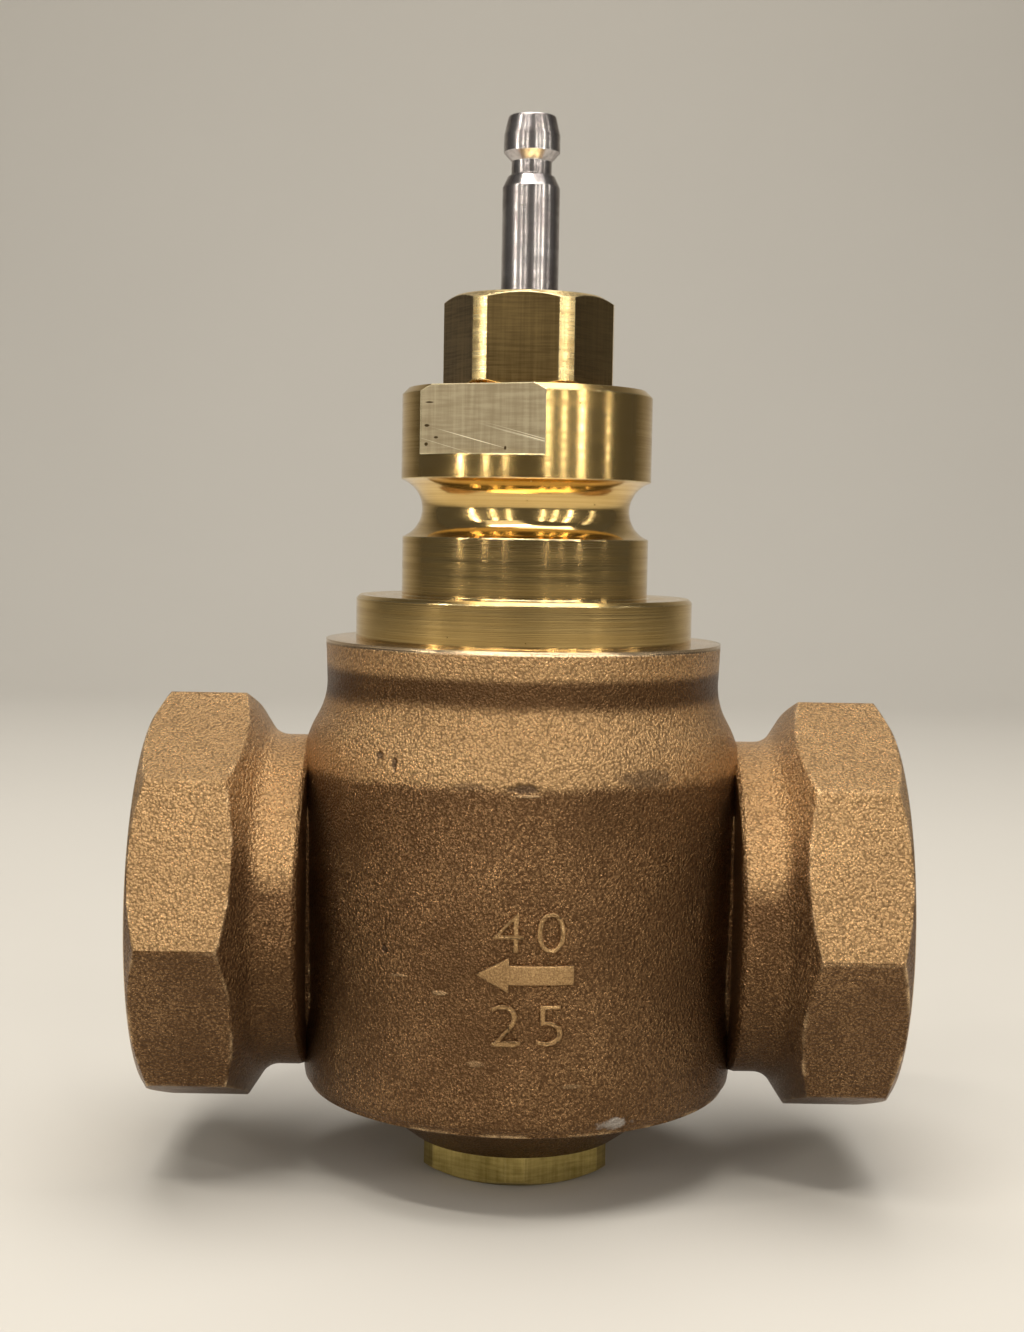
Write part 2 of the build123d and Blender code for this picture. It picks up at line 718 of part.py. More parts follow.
# Flow plug: contour that meters the flow in the seat's bore, with a room for the nut in its tip
flow_plug_tip_r = disc_nut_room_r + flow_plug_tip_w
bulge_r = flow_plug_tip_r + (flow_plug_r - flow_plug_tip_r) * flow_bulge_out
with BuildPart() as flow_plug:
    with BuildSketch(Plane.XZ):
        with BuildLine():
            tip = Polyline(
                (stem_thread_bore_r, disc_washer_z + disc_washer_h),
                (disc_nut_room_r, disc_washer_z + disc_washer_h),
                (disc_nut_room_r, flow_plug_tip_z),
                (flow_plug_tip_r, flow_plug_tip_z),
            )
            contour = ThreePointArc(
                tip @ 1,
                (bulge_r, flow_plug_tip_z + flow_plug_h * flow_bulge_up),
                (flow_plug_r, seal_bottom_z - flow_plug_land),
            )
            Polyline(
                contour @ 1,
                (flow_plug_r, seal_bottom_z),
                (holder_hub_r, seal_bottom_z),
                (holder_hub_r, seal_top_z),
                (stem_thread_bore_r, seal_top_z),
                (stem_thread_bore_r, disc_washer_z + disc_washer_h),
            )
        make_face()
    revolve(axis=Axis.Z)

flow_plug.part.label = "flow_plug"
export_step(flow_plug.part, "parts/flow_plug.step")

# Washer and nut that hold the disc assembly on the stem
with BuildPart() as disc_washer:
    with BuildSketch(Plane.XZ):
        ring_profile(stem_thread_bore_r, disc_nut_room_r - bore_gap, disc_washer_z, disc_washer_h)
    revolve(axis=Axis.Z)

disc_washer.part.label = "disc_washer"
export_step(disc_washer.part, "parts/disc_washer.step")

with BuildPart() as disc_nut:
    with BuildSketch(Plane.XY.offset(disc_nut_z)):
        RegularPolygon(disc_nut_across_flats / 2, hexagon, major_radius=False)
        Circle(stem_thread_bore_r, mode=Mode.SUBTRACT)
    extrude(amount=disc_nut_h)

disc_nut.part.label = "disc_nut"
export_step(disc_nut.part, "parts/disc_nut.step")
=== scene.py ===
from math import cos, pi, radians, sin, sqrt

import bmesh
import bpy
from mathutils import Matrix, Vector, noise


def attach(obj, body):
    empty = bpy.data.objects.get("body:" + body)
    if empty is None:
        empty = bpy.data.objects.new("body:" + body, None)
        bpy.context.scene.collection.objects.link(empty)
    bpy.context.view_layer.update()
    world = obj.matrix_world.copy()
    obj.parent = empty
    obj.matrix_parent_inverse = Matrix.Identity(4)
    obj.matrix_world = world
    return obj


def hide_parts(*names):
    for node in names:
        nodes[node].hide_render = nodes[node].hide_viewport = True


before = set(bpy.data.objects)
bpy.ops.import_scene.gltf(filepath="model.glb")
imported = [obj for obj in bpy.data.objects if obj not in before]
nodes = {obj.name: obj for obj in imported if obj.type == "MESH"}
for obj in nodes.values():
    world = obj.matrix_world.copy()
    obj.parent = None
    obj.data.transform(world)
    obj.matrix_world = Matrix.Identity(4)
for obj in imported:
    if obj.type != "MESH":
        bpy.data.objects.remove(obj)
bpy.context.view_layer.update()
scene = bpy.context.scene
mm = 0.001
print("frame loaded")


# camera, floor and lamps: places in metres, angles in degrees

cameraSetup = {
    "place": (-0.00194, -0.3407, 0.11315),
    "lens": 52.16,
    "sensorHeight": 36,
    "clipStart": 0.01,
    "down": 4.12,
    "roll": 0.98,
}

cameraData = bpy.data.cameras.new("camera")
cameraData.sensor_fit = "VERTICAL"
cameraData.sensor_height = cameraSetup["sensorHeight"]
cameraData.lens = cameraSetup["lens"]
cameraData.clip_start = cameraSetup["clipStart"]
camera = bpy.data.objects.new("camera", cameraData)
scene.collection.objects.link(camera)
tilt = Matrix.Rotation(radians(90 - cameraSetup["down"]), 4, "X")
roll = Matrix.Rotation(radians(cameraSetup["roll"]), 4, "Z")
camera.matrix_world = Matrix.Translation(cameraSetup["place"]) @ tilt @ roll
scene.camera = camera
scene.view_settings.view_transform = "Standard"

studio = {
    "frontEdge": -2.6,
    "wallAt": 1.5,
    "sweep": 0.6,
    "sweepSteps": 24,
    "wallTop": 2.6,
    "halfWidth": 2.8,
    "floorColour": (0.58, 0.555, 0.51),
    "roomColour": (0.42, 0.40, 0.37),
    "roomStrength": 0.22,
}


def addObject(name, bm):
    mesh = bpy.data.meshes.new(name)
    bm.to_mesh(mesh)
    bm.free()
    made = bpy.data.objects.new(name, mesh)
    scene.collection.objects.link(made)
    return made


def smoothFaces(bm):
    for face in bm.faces:
        face.smooth = True


def addSmooth(name, bm):
    bmesh.ops.recalc_face_normals(bm, faces=bm.faces)
    smoothFaces(bm)
    return addObject(name, bm)


def cutAcross(bm, place, across, near=0.0):
    everything = bm.verts[:] + bm.edges[:] + bm.faces[:]
    bmesh.ops.bisect_plane(bm, geom=everything, plane_co=place, plane_no=across, dist=near)


def onlyKind(found, kind):
    return [g for g in found if isinstance(g, kind)]


def makeSweep():
    s = studio
    bm = bmesh.new()
    left = bm.verts.new((-s["halfWidth"], s["frontEdge"], 0))
    right = bm.verts.new((s["halfWidth"], s["frontEdge"], 0))
    edge = [bm.edges.new((left, right))]
    curveAt = s["wallAt"] - s["sweep"]

    def pull(edges, move):
        grown = bmesh.ops.extrude_edge_only(bm, edges=edges)["geom"]
        bmesh.ops.translate(bm, verts=onlyKind(grown, bmesh.types.BMVert), vec=move)
        return onlyKind(grown, bmesh.types.BMEdge)[:1]

    edge = pull(edge, (0, curveAt - s["frontEdge"], 0))
    bmesh.ops.spin(bm, geom=edge + list(edge[0].verts), cent=(0, curveAt, s["sweep"]),
                   axis=(1, 0, 0), angle=pi / 2, steps=s["sweepSteps"])
    top = max(v.co.z for v in bm.verts)
    edge = [e for e in bm.edges if all(abs(v.co.z - top) < 1e-5 for v in e.verts)][:1]
    pull(edge, (0, 0, s["wallTop"] - top))
    bmesh.ops.recalc_face_normals(bm, faces=bm.faces)
    if bm.faces[0].normal.z < 0:
        bmesh.ops.reverse_faces(bm, faces=bm.faces)
    smoothFaces(bm)
    made = addObject("paleSweep", bm)
    return made


def addLamp(name, place, aim, size, power, colour):
    data = bpy.data.lights.new(name, "AREA")
    data.shape = "RECTANGLE"
    data.size, data.size_y = size
    data.energy = power
    data.color = colour
    lamp = bpy.data.objects.new(name, data)
    scene.collection.objects.link(lamp)
    turned = (Vector(aim) - Vector(place)).to_track_quat("-Z", "Y").to_matrix().to_4x4()
    lamp.matrix_world = Matrix.Translation(place) @ turned


lamps = {
    "ceilingSoft": {"place": (0.1, 0.05, 1.3), "aim": (0, 0, 0.1), "size": (1.3, 0.9), "power": 17,
                    "colour": (1, 0.965, 0.91)},
    "frontSoft": {"place": (-0.5, -0.9, 1.35), "aim": (0, 0, 0.08), "size": (0.9, 0.5), "power": 1.5,
                  "colour": (1, 0.97, 0.93)},
    "keyStrip": {"place": (-0.25, -0.55, 1.25), "aim": (0, 0, 0.07), "size": (0.7, 0.10), "power": 6,
                 "colour": (1, 0.95, 0.86)},
}
for name, lamp in lamps.items():
    addLamp(name, **lamp)

# upright strips, seen as bright lines on the turned parts; turns are angles to the right of straight ahead
strips = {
    "distance": 1.6, "centre": 0.75, "aimHeight": 0.12, "size": (0.03, 1.3), "colour": (1, 0.95, 0.86),
    "powers": {-62: 6.0, -37: 2.6, -19: 2.0, 19: 2.2, 33: 2.0, 50: 4.0, 78: 1.2},
}
for turn, power in strips["powers"].items():
    sideways, ahead = strips["distance"] * sin(radians(turn)), -strips["distance"] * cos(radians(turn))
    addLamp("strip" + str(turn), (sideways, ahead, strips["centre"]), (0, 0, strips["aimHeight"]),
            strips["size"], power, strips["colour"])

world = bpy.data.worlds.new("room")
world.use_nodes = True
room = world.node_tree.nodes["Background"]
room.inputs["Color"].default_value = (*studio["roomColour"], 1)
room.inputs["Strength"].default_value = studio["roomStrength"]
scene.world = world
print("camera, floor and lamps")


# small helpers for node trees

def put(tree, kind, values=None, **options):
    made = tree.nodes.new("ShaderNode" + kind)
    for option, value in options.items():
        setattr(made, option, value)
    for name, value in (values or {}).items():
        if isinstance(value, bpy.types.NodeSocket):
            tree.links.new(value, made.inputs[name])
        else:
            made.inputs[name].default_value = value
    return made


def calc(tree, operation, a, b=0.0, c=None, clamp=False):
    values = {0: a, 1: b} if c is None else {0: a, 1: b, 2: c}
    return put(tree, "Math", values, operation=operation, use_clamp=clamp).outputs[0]


def times(tree, a, b, clamp=False):
    return calc(tree, "MULTIPLY", a, b, clamp=clamp)


def timesPlus(tree, a, b, c, clamp=False):
    return calc(tree, "MULTIPLY_ADD", a, b, c, clamp=clamp)


def largest(tree, first, *others):
    for other in others:
        first = calc(tree, "MAXIMUM", first, other)
    return first


def distance(tree, a, b):
    return calc(tree, "SQRT", calc(tree, "ADD", times(tree, a, a), times(tree, b, b)))


def step(tree, value, low, high):
    return put(tree, "MapRange", {"Value": value, "From Min": low, "From Max": high},
               interpolation_type="SMOOTHSTEP").outputs[0]


def split(tree, vector):
    return put(tree, "SeparateXYZ", {0: vector}).outputs[:3]


def join(tree, x, y, z):
    return put(tree, "CombineXYZ", {0: x, 1: y, 2: z}).outputs[0]


def cloudy(tree, place, scale, detail, roughness=0.5):
    values = {"Vector": place, "Scale": scale, "Detail": detail, "Roughness": roughness}
    return put(tree, "TexNoise", values).outputs["Fac"]


def blendValue(tree, share, a, b):
    return put(tree, "Mix", {0: share, 2: a, 3: b}).outputs[0]


def blendColour(tree, share, a, b):
    colours = {6: a, 7: b}
    values = {index: value if isinstance(value, bpy.types.NodeSocket) else (*value, 1)
              for index, value in colours.items()}
    return put(tree, "Mix", {0: share, **values}, data_type="RGBA").outputs[2]


def scaled(colour, factor):
    return [min(1, c * factor) for c in colour]


def newGroup(name, inputs, outputs):
    group = bpy.data.node_groups.new(name, "ShaderNodeTree")
    for label, kind, default in inputs:
        socket = group.interface.new_socket(label, in_out="INPUT", socket_type="NodeSocket" + kind)
        if default is not None:
            socket.default_value = default
    for label, kind in outputs:
        group.interface.new_socket(label, in_out="OUTPUT", socket_type="NodeSocket" + kind)
    return group, group.nodes.new("NodeGroupInput").outputs, group.nodes.new("NodeGroupOutput").inputs


def use(tree, group, place, **values):
    made = tree.nodes.new("ShaderNodeGroup")
    made.node_tree = group
    tree.links.new(place, made.inputs["Vector"])
    for name, value in values.items():
        made.inputs[name].default_value = value
    return made.outputs


# effects that several finishes share, each of them a node group

def makeCastSkin():
    # rounded grains of the sand mould with finer ones between, and faint slow swells of tone
    tree, given, out = newGroup(
        "castSkin", [("Vector", "Vector", None), ("Grain", "Float", 2200.0), ("Swell", "Float", 70.0)],
        [("Height", "Float"), ("Tone", "Float"), ("Pit", "Float")])
    place = given["Vector"]
    wander = {"scale": 900.0, "reach": 0.0005}
    shares = {"finer": 1.7, "fineHeight": 0.9, "swellHeight": 0.5, "fineTone": 0.75, "swellTone": 0.30}
    bent = put(tree, "TexNoise", {"Vector": place, "Scale": wander["scale"], "Detail": 2.0})
    bent = put(tree, "VectorMath", {0: bent.outputs["Color"], 1: (0.5, 0.5, 0.5)}, operation="SUBTRACT")
    bent = put(tree, "VectorMath", {0: bent.outputs[0], 1: (wander["reach"],) * 3, 2: place},
               operation="MULTIPLY_ADD")
    grains = put(tree, "TexVoronoi", {"Vector": bent.outputs[0], "Scale": given["Grain"], "Smoothness": 0.15},
                 feature="SMOOTH_F1").outputs["Distance"]
    fine = cloudy(tree, place, times(tree, given["Grain"], shares["finer"]), 3.0, 0.7)
    swells = cloudy(tree, place, given["Swell"], 4.0, 0.6)
    height = timesPlus(tree, fine, shares["fineHeight"], calc(tree, "SUBTRACT", 1.0, grains))
    tree.links.new(timesPlus(tree, swells, shares["swellHeight"], height), out["Height"])
    tone = timesPlus(tree, fine, shares["fineTone"], times(tree, swells, shares["swellTone"]))
    tree.links.new(step(tree, tone, 0.38, 0.70), out["Tone"])
    tree.links.new(step(tree, grains, 0.40, 0.70), out["Pit"])
    return tree


def makeTurnLines():
    # rings left by a turning tool round the stem's axis, on walls and on flat ends alike
    tree, given, out = newGroup("turnLines", [("Vector", "Vector", None), ("Density", "Float", 5200.0)],
                                [("Height", "Float"), ("Tone", "Float")])
    ring = {"lineSpread": 34.0, "bandSpread": 20.0, "bandDensity": 0.16, "lineTone": 0.5, "bandTone": 0.5}
    x, y, z = split(tree, given["Vector"])
    along = times(tree, calc(tree, "ADD", z, distance(tree, x, y)), given["Density"])
    spread = [times(tree, part, ring["lineSpread"]) for part in (x, y)]
    lines = cloudy(tree, join(tree, *spread, along), 1.0, 3.0, 0.65)
    spread = [times(tree, part, ring["bandSpread"]) for part in (x, y)]
    bands = cloudy(tree, join(tree, *spread, times(tree, along, ring["bandDensity"])), 1.0, 2.0)
    tone = timesPlus(tree, lines, ring["lineTone"], times(tree, bands, ring["bandTone"]))
    tree.links.new(lines, out["Height"])
    tree.links.new(step(tree, tone, 0.36, 0.64), out["Tone"])
    return tree


def makeFlatGrain():
    # fine grain of drawn or milled flats: hair lines along one direction, crossed by faint ones
    tree, given, out = newGroup("flatGrain", [("Vector", "Vector", None), ("Fineness", "Float", 3000.0)],
                                [("Height", "Float"), ("Tone", "Float")])
    x, y, z = split(tree, given["Vector"])

    def hairs(slow, quick):
        level = join(tree, times(tree, x, slow), times(tree, y, slow), times(tree, z, quick))
        return cloudy(tree, level, 1.0, 3.0, 0.6)

    level = hairs(130.0, given["Fineness"])
    upright = hairs(1500.0, 60.0)
    tree.links.new(timesPlus(tree, upright, 0.5, level), out["Height"])
    tone = timesPlus(tree, upright, 0.45, times(tree, level, 0.55))
    tree.links.new(step(tree, tone, 0.36, 0.64), out["Tone"])
    return tree


def makeEdgeWear():
    # rubbed edges, broken up by a noise; none where the nodes of one casting meet
    tree, given, out = newGroup(
        "edgeWear", [("Vector", "Vector", None), ("Width", "Float", 0.0006), ("Breakup", "Float", 380.0),
                     ("Reach", "Float", 0.5), ("Seam", "Float", 1.0)],
        [("Mask", "Float"), ("Normal", "Vector")])
    gates = {"bend": (0.004, 0.06), "from": 0.62, "to": 0.92, "seamGuard": 0.0052}
    softened = put(tree, "Bevel", {"Radius": given["Width"]}, samples=4).outputs[0]
    facing = put(tree, "NewGeometry").outputs["Normal"]
    bend = put(tree, "VectorMath", {0: softened, 1: facing}, operation="DOT_PRODUCT").outputs["Value"]
    edge = step(tree, calc(tree, "SUBTRACT", 1.0, bend), *gates["bend"])
    ragged = cloudy(tree, given["Vector"], given["Breakup"], 4.0, 0.6)
    gate = step(tree, ragged, calc(tree, "SUBTRACT", gates["from"], given["Reach"]),
                calc(tree, "SUBTRACT", gates["to"], given["Reach"]))
    away = calc(tree, "ABSOLUTE", split(tree, given["Vector"])[0])
    fromSeam = calc(tree, "ABSOLUTE", calc(tree, "SUBTRACT", away, given["Seam"]))
    clear = calc(tree, "GREATER_THAN", fromSeam, gates["seamGuard"])
    tree.links.new(times(tree, times(tree, edge, gate, clamp=True), clear), out["Mask"])
    normal = put(tree, "Mix", {0: clear, 4: facing, 5: softened}, data_type="VECTOR").outputs[1]
    tree.links.new(normal, out["Normal"])
    return tree


def makeSpotMark():
    # one ragged mark at a place, with its half sizes
    tree, given, out = newGroup(
        "spotMark", [("Vector", "Vector", None), ("Place", "Vector", None),
                     ("Size", "Vector", (1.0, 1.0, 1.0)), ("Ragged", "Float", 0.4)], [("Mask", "Float")])
    offset = put(tree, "VectorMath", {0: given["Vector"], 1: given["Place"]}, operation="SUBTRACT")
    offset = put(tree, "VectorMath", {0: offset.outputs[0], 1: given["Size"]}, operation="DIVIDE")
    reach = put(tree, "VectorMath", {0: offset.outputs[0]}, operation="LENGTH").outputs["Value"]
    rough = calc(tree, "SUBTRACT", cloudy(tree, given["Vector"], 700.0, 3.0), 0.5)
    frayed = timesPlus(tree, rough, times(tree, given["Ragged"], 3.0), reach)
    tree.links.new(step(tree, frayed, 1.0, 0.55), out["Mask"])
    return tree


def makePatches():
    # slow patches of tarnish and handling
    tree, given, out = newGroup(
        "patches", [("Vector", "Vector", None), ("Scale", "Float", 60.0), ("Sharp", "Float", 0.15)],
        [("Mask", "Float")])
    middle = 0.52
    cloud = cloudy(tree, given["Vector"], given["Scale"], 5.0, 0.6)
    low, high = (calc(tree, operation, middle, given["Sharp"]) for operation in ("SUBTRACT", "ADD"))
    tree.links.new(step(tree, cloud, low, high), out["Mask"])
    return tree


castSkin = makeCastSkin()
turnLines = makeTurnLines()
flatGrain = makeFlatGrain()
edgeWear = makeEdgeWear()
spotMark = makeSpotMark()
patches = makePatches()
print("shared effects")


# finishes

def newFinish(name, metallic, roughness, specular=0.5, anisotropic=0.0):
    material = bpy.data.materials.new(name)
    material.use_nodes = True
    tree = material.node_tree
    shader = tree.nodes["Principled BSDF"]
    shader.inputs["Metallic"].default_value = metallic
    shader.inputs["Roughness"].default_value = roughness
    shader.inputs["Specular IOR Level"].default_value = specular
    if anisotropic:
        shader.inputs["Anisotropic"].default_value = anisotropic
        around = put(tree, "Tangent", direction_type="RADIAL", axis="Z")
        tree.links.new(around.outputs[0], shader.inputs["Tangent"])
    place = put(tree, "TexCoord").outputs["Object"]
    return material, tree, shader, place


def dress(tree, shader, colour, roughness, height, depth, normal=None):
    tree.links.new(colour, shader.inputs["Base Color"])
    tree.links.new(roughness, shader.inputs["Roughness"])
    values = {"Height": height, "Distance": depth, "Strength": 1.0}
    if normal is not None:
        values["Normal"] = normal
    tree.links.new(put(tree, "Bump", values).outputs[0], shader.inputs["Normal"])


def markMask(tree, place, centre, size):
    return use(tree, spotMark, place, Place=[c * mm for c in centre], Size=[s * mm for s in size])[0]


# the barrel's profile: height and radius of its ends and its roundings, in mm
barrel = {"foot": (15.1, 37.75), "belly": (49.9, 38.62), "footRound": 2.2, "shoulder": 70.5,
          "shoulderRound": 18.0}
# where the casting's middle and its two ends meet, in mm from the stem's axis
castSeam = 41.28
# marks in the skin: place and half sizes in mm
castMarks = {
    "dent": ((0.4, -38.0, 71.9), (3.3, 1.8, 0.95)),
    "dentLip": ((0.4, -38.5, 70.75), (2.7, 1.6, 0.30)),
    "stain": ((20.0, -32.5, 73.2), (8.5, 4.5, 1.9)),
    "smudge": ((-8.5, -37.5, 72.0), (3.4, 1.6, 0.8)),
    "pitA": ((-23.1, -30.0, 75.9), (0.7, 1.5, 0.7)),
    "pitB": ((-20.6, -32.0, 74.6), (0.5, 1.5, 1.3)),
    "hole": ((-21.9, -31.7, 44.5), (0.55, 1.5, 0.7)),
    "scuff": ((16.0, -34.4, 17.0), (3.6, 3.0, 1.2)),
    "scratchA": ((-12.6, -36.1, 38.5), (1.7, 1.6, 0.42)),
    "scratchB": ((-19.5, -33.0, 40.6), (2.0, 1.6, 0.3)),
    "noduleA": ((-6.8, -37.4, 27.3), (1.6, 1.6, 0.6)),
    "noduleB": ((8.5, -37.1, 23.8), (2.2, 1.6, 0.5)),
}
# deep is the grain's own darker tone and also painted shade in the waist and the grain pits; stain is a real
# stain tone that also paints shade into the dent, the pits and the hole; the gold tone for what looks up is
# painted top light
castTones = {
    "deep": (0.09, 0.047, 0.021), "plain": (0.20, 0.108, 0.049), "lit": (0.56, 0.335, 0.155),
    "paintedToplight": (0.68, 0.43, 0.205), "worn": (0.86, 0.60, 0.33), "machined": (0.80, 0.60, 0.38),
    "stain": (0.10, 0.062, 0.038), "scuff": (0.55, 0.52, 0.48),
}
# a pair says where a mask starts and where it is full; heights and distances are in metres
castPlaces = {
    "pipeAxis": 0.0466, "mouth": 0.06385, "boreStart": 0.0429, "boreRadius": 0.0256, "rim": (0.0925, 0.0929),
    "shoulderFoot": (0.0716, 0.0734), "shoulderTop": (0.0862, 0.0835), "rimBand": (0.0876, 0.0892),
    "waistFoot": (0.0838, 0.0862), "waistTop": (0.0894, 0.0876), "upward": (0.16, 0.36),
    "rippledOut": (0.046, 0.0475), "rippledUp": (0.044, 0.047), "grainWobble": 0.0013, "dirtWobble": 0.0009,
}
castSurface = {
    "grainTone": (0.55, 0.2), "dirtTone": 0.22, "glint": 0.7, "paintedToplightTone": (0.4, 0.6), "lineDensity": 3600.0,
    "roughness": {"To Min": 0.40, "To Max": 0.22}, "wornRough": -0.08, "darkRough": 0.15, "turnedRough": -0.14,
    "rippleScale": 620.0, "rippleHeight": 1.5, "wornHeight": -0.45, "pitHeight": -2.6, "lineHeight": 0.12,
    "relief": 0.00026,
}


def turnedOnCasting(tree, x, y, z):
    # the rim, both mouths and all that lies within the bores
    p = castPlaces
    away = calc(tree, "ABSOLUTE", x)
    fromPipe = distance(tree, y, calc(tree, "SUBTRACT", z, p["pipeAxis"]))
    mouths = calc(tree, "GREATER_THAN", away, p["mouth"])
    bores = times(tree, calc(tree, "GREATER_THAN", away, p["boreStart"]),
                  calc(tree, "LESS_THAN", fromPipe, p["boreRadius"]))
    return largest(tree, mouths, bores, step(tree, z, *p["rim"]))


def rubbedOnCasting(tree, z, grain, dirt):
    # painted top light: what looks up and the sloping shoulder are lightened to gold; painted shade: the
    # hollow under the rim is darkened
    p = castPlaces
    wobble = timesPlus(tree, grain, p["grainWobble"], timesPlus(tree, dirt, p["dirtWobble"], z))
    upward = split(tree, put(tree, "NewGeometry").outputs["Normal"])[2]
    shoulder = times(tree, step(tree, wobble, *p["shoulderFoot"]), step(tree, wobble, *p["shoulderTop"]))
    # painted top light: the shoulder band, the band under the rim and the upward faces get the gold top tone
    paintedToplight = largest(tree, shoulder, step(tree, z, *p["rimBand"]), step(tree, upward, *p["upward"]))
    paintedToplight = times(tree, paintedToplight, timesPlus(tree, grain, *castSurface["paintedToplightTone"]))
    # painted shade: the hollow waist under the rim, later darkened towards the deep tone
    paintedWaistShade = times(tree, step(tree, wobble, *p["waistFoot"]), step(tree, z, *p["waistTop"]))
    return paintedToplight, paintedWaistShade


def makeCastBronze():
    material, tree, shader, place = newFinish("castBronze", 1.0, 0.4)
    s, p, tones = castSurface, castPlaces, castTones
    skin = use(tree, castSkin, place)
    grain, pit = skin["Tone"], skin["Pit"]
    wear = use(tree, edgeWear, place, Width=0.0011, Breakup=240.0, Reach=0.19, Seam=castSeam * mm)
    dirt = use(tree, patches, place, Scale=48.0, Sharp=0.25)[0]
    lines = use(tree, turnLines, place, Density=s["lineDensity"])
    x, y, z = split(tree, place)
    marks = {mark: markMask(tree, place, *sizes) for mark, sizes in castMarks.items()}
    turned = turnedOnCasting(tree, x, y, z)
    paintedToplight, paintedWaistShade = rubbedOnCasting(tree, z, grain, dirt)
    # the dent darkened towards the stain tone is painted shade; the stain and the smudge are real marks
    dark = largest(tree, times(tree, marks["stain"], 0.7), marks["dent"], times(tree, marks["smudge"], 0.6))
    # the pits and the hole darkened towards the stain tone are painted shade in them
    pits = largest(tree, marks["pitA"], marks["pitB"], marks["hole"])
    nodules = times(tree, largest(tree, marks["noduleA"], marks["noduleB"]), 0.5)
    bright = largest(tree, marks["dentLip"], marks["scratchA"], marks["scratchB"], nodules)

    tone = timesPlus(tree, dirt, s["dirtTone"], timesPlus(tree, grain, *s["grainTone"]), clamp=True)
    colour = blendColour(tree, tone, tones["deep"], tones["plain"])
    glint = times(tree, calc(tree, "POWER", grain, 2.0), calc(tree, "SUBTRACT", 1.0, pit), clamp=True)
    # the grain pits darkened towards the deep tone are painted shade in the hollows between grains
    coats = (
        (glint, s["glint"], "lit"), (paintedToplight, 0.95, "paintedToplight"), (paintedWaistShade, 0.65, "deep"), (pit, 0.5, "deep"),
        (wear["Mask"], 1.0, "worn"), (largest(tree, dark, pits), 0.85, "stain"), (bright, 0.3, "worn"),
        (marks["scuff"], 0.6, "scuff"),
    )
    for mask, share, coat in coats:
        colour = blendColour(tree, times(tree, mask, share), colour, tones[coat])
    turnedColour = blendColour(tree, lines["Tone"], scaled(tones["machined"], 0.8), tones["machined"])
    colour = blendColour(tree, turned, colour, turnedColour)

    rough = put(tree, "MapRange", {"Value": grain, **s["roughness"]}).outputs[0]
    rough = timesPlus(tree, wear["Mask"], s["wornRough"], rough)
    rough = timesPlus(tree, largest(tree, dark, marks["scuff"]), s["darkRough"], rough)
    rough = timesPlus(tree, turned, s["turnedRough"], rough, clamp=True)

    away = calc(tree, "ABSOLUTE", x)
    rippled = times(tree, step(tree, away, *p["rippledOut"]), step(tree, z, *p["rippledUp"]))
    ripple = times(tree, cloudy(tree, place, s["rippleScale"], 2.0), rippled)
    height = timesPlus(tree, ripple, s["rippleHeight"], skin["Height"])
    height = times(tree, height, timesPlus(tree, wear["Mask"], s["wornHeight"], 1.0))
    height = timesPlus(tree, largest(tree, marks["dent"], pits), s["pitHeight"], height)
    height = calc(tree, "ADD", height, bright)
    height = blendValue(tree, turned, height, times(tree, lines["Height"], s["lineHeight"]))
    dress(tree, shader, colour, rough, height, s["relief"], wear["Normal"])
    return material


def makeTurned(name, dark, light, density, depth, roughness, anisotropic, flecks=0.0):
    material, tree, shader, place = newFinish(name, 1.0, roughness, anisotropic=anisotropic)
    lines = use(tree, turnLines, place, Density=density)
    wear = use(tree, edgeWear, place, Width=0.0003, Reach=0.42, Breakup=260.0)
    dirt = use(tree, patches, place, Scale=85.0, Sharp=0.16)[0]
    shade = timesPlus(tree, dirt, 0.35, times(tree, lines["Tone"], 0.65))
    colour = blendColour(tree, shade, dark, light)
    if flecks:
        spots = put(tree, "TexVoronoi", {"Vector": place, "Scale": 420.0}, feature="F1")
        fleck = times(tree, step(tree, spots.outputs["Distance"], 0.12, 0.05), flecks)
        colour = blendColour(tree, fleck, colour, scaled(dark, 0.35))
    colour = blendColour(tree, times(tree, wear["Mask"], 0.6), colour, scaled(light, 1.15))
    rough = timesPlus(tree, lines["Tone"], -0.07, timesPlus(tree, dirt, -0.05, roughness + 0.06))
    dress(tree, shader, colour, rough, lines["Height"], depth, wear["Normal"])
    return material


bonnetLook = {
    "dark": (0.60, 0.40, 0.14), "light": (0.84, 0.60, 0.25), "fleck": (0.14, 0.09, 0.03),
    "worn": (0.99, 0.86, 0.52), "flatDark": (0.34, 0.275, 0.17), "flatLight": (0.47, 0.395, 0.26),
    "scratch": (0.98, 0.90, 0.68), "pit": (0.07, 0.045, 0.02), "lineDensity": 4300.0, "relief": 0.000005,
    "flatTurn": 24.3, "flatAbove": (0.12512, 0.12518), "scratchedBelow": (0.1312, 0.1275),
    "scratchTilt": -16, "scratchStretch": (22.0, 22.0, 2600.0), "flatRough": 0.44,
}
# nicks in the wrench flat: place and half sizes in mm
collarMarks = {
    "pitA": ((-17.0, -12.7, 130.0), (0.55, 1.0, 0.30)), "pitB": ((-15.4, -13.4, 128.0), (0.42, 1.0, 0.22)),
    "pitC": ((-17.1, -12.7, 126.9), (0.35, 1.0, 0.35)), "pitD": ((-3.7, -18.7, 126.2), (0.30, 1.0, 0.40)),
    "nickA": ((-16.6, -12.9, 133.9), (1.1, 1.2, 0.18)),
}


def facingMask(tree, turn, reach):
    facing = put(tree, "NewGeometry").outputs["True Normal"]
    direction = (-sin(radians(turn)), -cos(radians(turn)), 0)
    dot = put(tree, "VectorMath", {0: facing, 1: direction}, operation="DOT_PRODUCT").outputs["Value"]
    return calc(tree, "GREATER_THAN", calc(tree, "ABSOLUTE", dot), reach)


